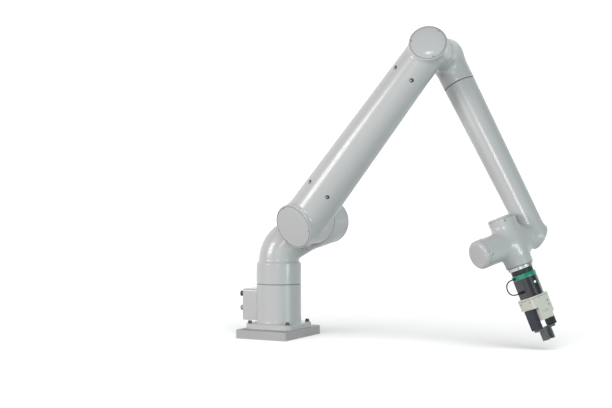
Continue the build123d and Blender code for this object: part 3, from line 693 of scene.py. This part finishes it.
# Elbow: a casting that turns on the upper arm and bends down into the forearm.
# Its far corner has a tilted cover of its own.
hang = np.radians(26.7)
fore_axis = np.array([np.sin(hang), 0, -np.cos(hang)])
fore_top = np.array([elbow[0], 0.115, elbow[2]])
elbow_r, elbow_run, elbow_edge, elbow_fillet = 0.066, 0.1147, 0.002, 0.024
elbow_tube_r, elbow_tube_low_r, elbow_tube_run, elbow_tube_edge = 0.0615, 0.0612, 0.121, 0.0012
elbow_cover_r, elbow_boss_r, ball_gap = 0.058, 0.0605, 0.008
elbow_cover_dir, elbow_seat = rim(fore_top, side_axis, -fore_axis, elbow_tube_r, elbow_cover_r)


def elbow_solid(p):
    """Joint housing along the elbow axis, a short tube towards the forearm, and a cover boss."""
    tube_end = fore_top + fore_axis * elbow_tube_run
    joint = bar(p, fore_top - side_axis * elbow_run, fore_top, elbow_r, elbow_r, elbow_edge)
    tube = bar(p, fore_top, tube_end, elbow_tube_r, elbow_tube_low_r, elbow_tube_edge)
    whole = flow(joint, tube, elbow_fillet)
    whole = bossed(whole, p, fore_top, elbow_cover_dir, elbow_seat, elbow_boss_r)
    return np.maximum(whole, p[..., 1] - cad_box[1][1])


def ball_rows(centre, count):
    """Rays from one centre to all sides, pole to pole."""
    end_tilt = np.pi / 2 - ball_gap
    return np.repeat(centre[None], count, 0), np.linspace(-end_tilt, end_tilt, count)


elbow_centres, elbow_tilts = ball_rows(fore_top, count=200)
elbow_rays = ray_rows(elbow_centres, fore_axis, elbow_tilts, side_axis, turns=260)
elbow_skin = cast("elbow_skin", elbow_centres, elbow_rays, elbow_solid, reach=0.2, finish=paint)
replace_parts(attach(elbow_skin, "elbow"), "elbow_casting")
close_cover("elbow_rear_cover", "elbow", elbow_seat, elbow_cover_dir, elbow_cover_r, screw_turn=0.3)

# Forearm: a long tapered tube that rolls about its own line and ends in the wrist joint.
# The corner opposite the joint has a tilted cover.
roll = np.radians(36.5)
fore_start, fore_length, fore_high_r, fore_low_r, fore_edge = 0.1243, 0.758, 0.0605, 0.048, 0.0012
fore_stub_r, fore_stub_run, fore_stub_edge, fore_fillet = 0.0475, 0.050, 0.002, 0.006
fore_cover_r, fore_boss_r, fore_cover_tilt = 0.046, 0.0485, np.pi / 4
fore_begin = fore_top + fore_axis * fore_start
wrist = fore_top + fore_axis * fore_length
wrist_axis = -side_axis * np.cos(roll) + np.cross(fore_axis, -side_axis) * np.sin(roll)
fore_cover_dir, fore_seat = rim(wrist, -wrist_axis, fore_axis, fore_low_r, fore_cover_r, fore_cover_tilt)


def forearm_solid(p):
    """Tapered tube, the wrist joint's stub and a cover boss."""
    tube = bar(p, fore_begin, wrist, fore_high_r, fore_low_r, fore_edge)
    stub = bar(p, wrist, wrist + wrist_axis * fore_stub_run, fore_stub_r, fore_stub_r, fore_stub_edge)
    return bossed(flow(tube, stub, fore_fillet), p, wrist, fore_cover_dir, fore_seat, fore_boss_r)


fore_lip_share, fore_lip_run_share = 0.0006, 0.004
fore_spacing = np.concatenate([
    fore_lip_share + fore_lip_run_share * np.linspace(0, 1, 8) ** 2,
    np.linspace(0.02, 0.78, 24), np.linspace(0.8, 1.0, 44),
])
fore_centres, fore_tilts = link_rows(fore_begin, wrist, False, fore_spacing)
fore_rays = ray_rows(fore_centres, fore_axis, fore_tilts, wrist_axis, turns=200)
forearm = cast("forearm_skin", fore_centres, fore_rays, forearm_solid, reach=0.14, finish=paint)
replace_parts(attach(forearm, "forearm"), "forearm_tube")
close_cover("forearm_end_cover", "forearm", fore_seat, fore_cover_dir, fore_cover_r, screw_turn=0.5)

# Wrist: a cast cross of two short tubes, one on the wrist axis and one on the tool axis.
# Round covers close its free ends.
wrist_turn = np.radians(7.0)
wrist_to_tool, wrist_start, wrist_end, wrist_r = 0.115, 0.0533, 0.258, 0.052
holder_back, holder_front, holder_r = 0.092, 0.086, 0.051
wrist_edge, wrist_fillet = 0.0015, 0.024
tool = wrist + wrist_axis * wrist_to_tool
tool_axis = fore_axis * np.cos(wrist_turn) + np.cross(fore_axis, wrist_axis) * np.sin(wrist_turn)
tool_across = np.cross(tool_axis, wrist_axis)
wrist_end_spot, holder_back_spot = wrist + wrist_axis * wrist_end, tool - tool_axis * holder_back


def wrist_solid(p):
    """Housing along the wrist axis, joined softly to the housing along the tool axis."""
    turning = bar(p, wrist + wrist_axis * wrist_start, wrist_end_spot, wrist_r, wrist_r, wrist_edge)
    holding = bar(p, holder_back_spot, tool + tool_axis * holder_front, holder_r, holder_r, wrist_edge)
    return flow(turning, holding, wrist_fillet)


wrist_centres, wrist_tilts = ball_rows(tool, count=220)
wrist_rays = ray_rows(wrist_centres, tool_across, wrist_tilts, wrist_axis, turns=300)
wrist_skin = cast("wrist_skin", wrist_centres, wrist_rays, wrist_solid, reach=0.16, finish=paint)
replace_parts(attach(wrist_skin, "wrist"), "wrist_casting")
dress("wrist_side_cover", paint)
dress("wrist_top_cover", paint)
seam_half, seam_proud, seam_screw_back = 0.0006, 0.0003, 0.009


def rim_line(name, centre, axis, radius, turn_start):
    """A grey line of painted shade round a housing where its end cover starts,
    and four small screws beside it.
    """
    arch = np.linspace(0, np.pi, 7)
    rows = [(radius - sunk, -seam_half)]
    rows += [(radius + seam_proud * np.sin(t), -seam_half * np.cos(t)) for t in arch]
    rows += [(radius - sunk, seam_half)]
    # The pale rubber finish is painted shade here: the line stands for the shade in the seam.
    line = closed_rows(name, turned_points(rows, centre, axis, turns=160), pale_rubber_and_seam_shade, ring=True)
    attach(line, "wrist")
    first = unit(np.cross(axis, off_axis))
    second = np.cross(axis, first)
    for count in range(4):
        turn = turn_start + count * np.pi / 2
        out = np.cos(turn) * first + np.sin(turn) * second
        add_screw(f"{name}_screw_{count}", "wrist", centre - seam_screw_back * axis + radius * out, out)


rim_line("wrist_side_line", wrist_end_spot, wrist_axis, wrist_r, turn_start=0.5)
rim_line("wrist_top_line", holder_back_spot, -tool_axis, holder_r, turn_start=0.9)

# Tool flange and gripper: a turned flange, a black coupling, a lit ring, a black motor housing
# and a warm white block with two dark fingers.
turned_metal = Finish("turned_metal", Metallic=0.9)
lathe_lines = turned_metal.noise(600.0, 2.0)
turned_metal.show(
    Base_Color=turned_metal.tone(lathe_lines, (0.52, 0.53, 0.54), (0.66, 0.67, 0.68)),
    Roughness=0.28 + 0.14 * lathe_lines,
)
light_green = Finish("lit_green_ring", Roughness=0.22, Coat_Weight=0.5, Emission_Strength=0.55)
light_bands = light_green.noise(30.0, 2.0)
light_green.show(
    Base_Color=light_green.tone(light_bands, (0.004, 0.075, 0.05), (0.008, 0.13, 0.085)),
    Emission_Color=light_green.tone(light_bands, (0.0, 0.14, 0.085), (0.005, 0.30, 0.19)),
)
warm_white = Finish("warm_white_plastic", Specular_IOR_Level=0.45)
warm_cloud = warm_white.noise(14.0, 4.0)
warm_white.show(
    Base_Color=warm_white.tone(warm_cloud, (0.66, 0.64, 0.56), (0.76, 0.745, 0.67)),
    Roughness=0.42 + 0.14 * warm_cloud,
)
warm_white.bump(warm_white.noise(1200.0, 2.0), 0.00003)
dark_metal = Finish("dark_anodised_metal", Metallic=0.75)
dark_metal_cloud = dark_metal.noise(90.0, 3.0)
dark_metal.show(
    Base_Color=dark_metal.tone(dark_metal_cloud, (0.10, 0.11, 0.12), (0.17, 0.18, 0.19)),
    Roughness=0.36 + 0.16 * dark_metal_cloud,
)
gloss_black = Finish("gloss_black_plastic", Coat_Weight=0.6, Coat_Roughness=0.08)
gloss_film = gloss_black.noise(22.0, 4.0)
gloss_black.show(
    Base_Color=gloss_black.tone(gloss_film, (0.006, 0.006, 0.007), (0.014, 0.014, 0.016)),
    Roughness=0.22 + 0.14 * gloss_film,
)
blue_black = Finish("blue_black_plastic", Specular_IOR_Level=0.5)
blue_cloud = blue_black.noise(45.0, 3.0)
blue_black.show(
    Base_Color=blue_black.tone(blue_cloud, (0.008, 0.010, 0.020), (0.016, 0.019, 0.034)),
    Roughness=0.34 + 0.16 * blue_cloud,
)
lamp_white = Finish("lit_lamp", Roughness=0.2, Emission_Strength=0.9)
lamp_core = lamp_white.noise(120.0, 2.0)
lamp_white.show(
    Base_Color=lamp_white.tone(lamp_core, (0.30, 0.55, 0.45), (0.45, 0.70, 0.60)),
    Emission_Color=lamp_white.tone(lamp_core, (0.35, 0.80, 0.62), (0.65, 1.0, 0.88)),
)
for node, finish in (
    ("tool_flange", turned_metal), ("tool_coupling", dark_plastic_and_hole_shade), ("light_ring", light_green),
    ("gripper_motor_housing", gloss_black), ("status_lamp", lamp_white), ("cable_strip", warm_white),
    ("gripper_body", warm_white), ("finger_left", blue_black), ("finger_right", blue_black),
    ("fingertip_left", dark_metal), ("fingertip_right", dark_metal),
    ("cable_socket_upper", dark_plastic_and_hole_shade), ("cable_socket_lower", dark_plastic_and_hole_shade),
):
    dress(node, finish)

# Fine detail on the gripper: a lid seam, screws, a lock knob on the cable strip and the flange's screws.
# All sit on the faces as small turned or swept pieces: the seam is a thin band of painted shadow,
# and the screws and knob are steel or black plastic.
motor_end, body_half_side, body_half_face, body_corner = 0.205, 0.042, 0.039, 0.007
lid_depth, lid_width, lid_proud = 0.0075, 0.0009, 0.0002
face_screw_side, side_screw_along, side_screw_face = -0.026, 0.222, 0.026
knob_along, knob_side = 0.178, -0.044
flange_screw_along, flange_r, flange_turn = 0.0945, 0.046, 0.35


def on_tool(along, sideways, facewise):
    """A point on the gripper: distance along the tool axis, along the wrist axis and across both."""
    return tool + along * tool_axis + sideways * wrist_axis + facewise * tool_across


def block_band(name, along, width, proud, finish):
    """A thin band round the block.
    A low arch is carried along the outline of a rectangle with round corners."""
    quarter = np.linspace(0, np.pi / 2, 10)
    turn = (np.arange(4)[:, None] * np.pi / 2 + quarter).ravel()
    corner = np.repeat(np.array([(1, 1), (-1, 1), (-1, -1), (1, -1)]), len(quarter), 0)
    corner = corner * (body_half_side - body_corner, body_half_face - body_corner)
    arch = np.linspace(0, np.pi, 7)
    reach = body_corner + np.concatenate([[-sunk], proud * np.sin(arch), [-sunk]])
    height = np.concatenate([[-width / 2], -width / 2 * np.cos(arch), [width / 2]])
    sideways = corner[:, 0] + reach[:, None] * np.cos(turn)
    facewise = corner[:, 1] + reach[:, None] * np.sin(turn)
    points = on_tool((along + height)[:, None, None], sideways[..., None], facewise[..., None])
    band = closed_rows(name, points[::-1], finish, ring=True)
    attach(band, "tool")


# The lid seam is a band of painted shadow in the shadow_gap finish, standing for the shade in the seam.
block_band("gripper_lid_seam", motor_end + lid_depth, lid_width, lid_proud, gap_finish)
for face_name, hand in (("near", -1), ("far", 1)):
    for count, along in enumerate((0.236, 0.250)):
        spot = on_tool(along, face_screw_side, hand * body_half_face)
        add_screw(f"gripper_screw_{face_name}_{count}", "tool", spot, hand * tool_across)
for count, facewise in enumerate((-side_screw_face, side_screw_face)):
    for side_name, hand in (("left", 1), ("right", -1)):
        spot = on_tool(side_screw_along, hand * body_half_side, facewise)
        add_screw(f"gripper_screw_{side_name}_{count}", "tool", spot, hand * wrist_axis)
knob_rows = [
    (0.0003, -0.001), (0.0062, -0.001), (0.0062, 0.0012), (0.0048, 0.0018), (0.0046, 0.0052, 0.4),
    (0.0040, 0.0060, 0.4), (0.0018, 0.0060), (0.0016, 0.0052), (0.0003, 0.0052),
]
knob_spot = on_tool(knob_along, knob_side, 0.0)
knob = turned("strip_knob", knob_rows, knob_spot, -wrist_axis, dark_plastic_and_hole_shade, turns=48)
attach(knob, "tool")
for count in range(6):
    turn = count * np.pi / 3 + flange_turn
    out = np.cos(turn) * wrist_axis + np.sin(turn) * tool_across
    spot = tool + flange_screw_along * tool_axis + flange_r * out
    add_screw(f"flange_screw_{count}", "tool", spot, out)

# Gripper cable: a thin black lead that leaves the light ring, bows out and returns to the housing.
# It follows one smooth curve through the route's points, given along the wrist and tool axes.
cable_finish = Finish("cable_jacket", Specular_IOR_Level=0.4)
cable_grain = cable_finish.noise(500.0, 2.0)
cable_finish.show(
    Base_Color=cable_finish.tone(cable_grain, (0.012, 0.012, 0.013), (0.03, 0.03, 0.032)),
    Roughness=0.45 + 0.15 * cable_grain,
)
cable_r, cable_length = 0.0023, 0.119
cable_route = np.array([
    (0.050, 0.126), (0.071, 0.124), (0.092, 0.137), (0.095, 0.163), (0.076, 0.181), (0.050, 0.180),
])
cable_points = tool + cable_route[:, :1] * wrist_axis + cable_route[:, 1:] * tool_axis
cable_curve = bpy.data.curves.new("gripper_cable_line", "CURVE")
cable_curve.dimensions = "3D"
cable_line = cable_curve.splines.new("NURBS")
cable_line.points.add(len(cable_points) - 1)
cable_line.points.foreach_set("co", np.column_stack([cable_points, np.ones(len(cable_points))]).ravel())
cable_line.order_u = 3
cable_line.use_endpoint_u = True
cable_line.resolution_u = 16
cable_curve.bevel_depth = cable_r
cable_curve.bevel_resolution = 6
cable_curve.use_fill_caps = True
cable_curve.materials.append(cable_finish.material)
cable = bpy.data.objects.new("gripper_cable_line", cable_curve)
bpy.context.scene.collection.objects.link(cable)
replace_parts(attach(cable, "tool"), "gripper_cable")
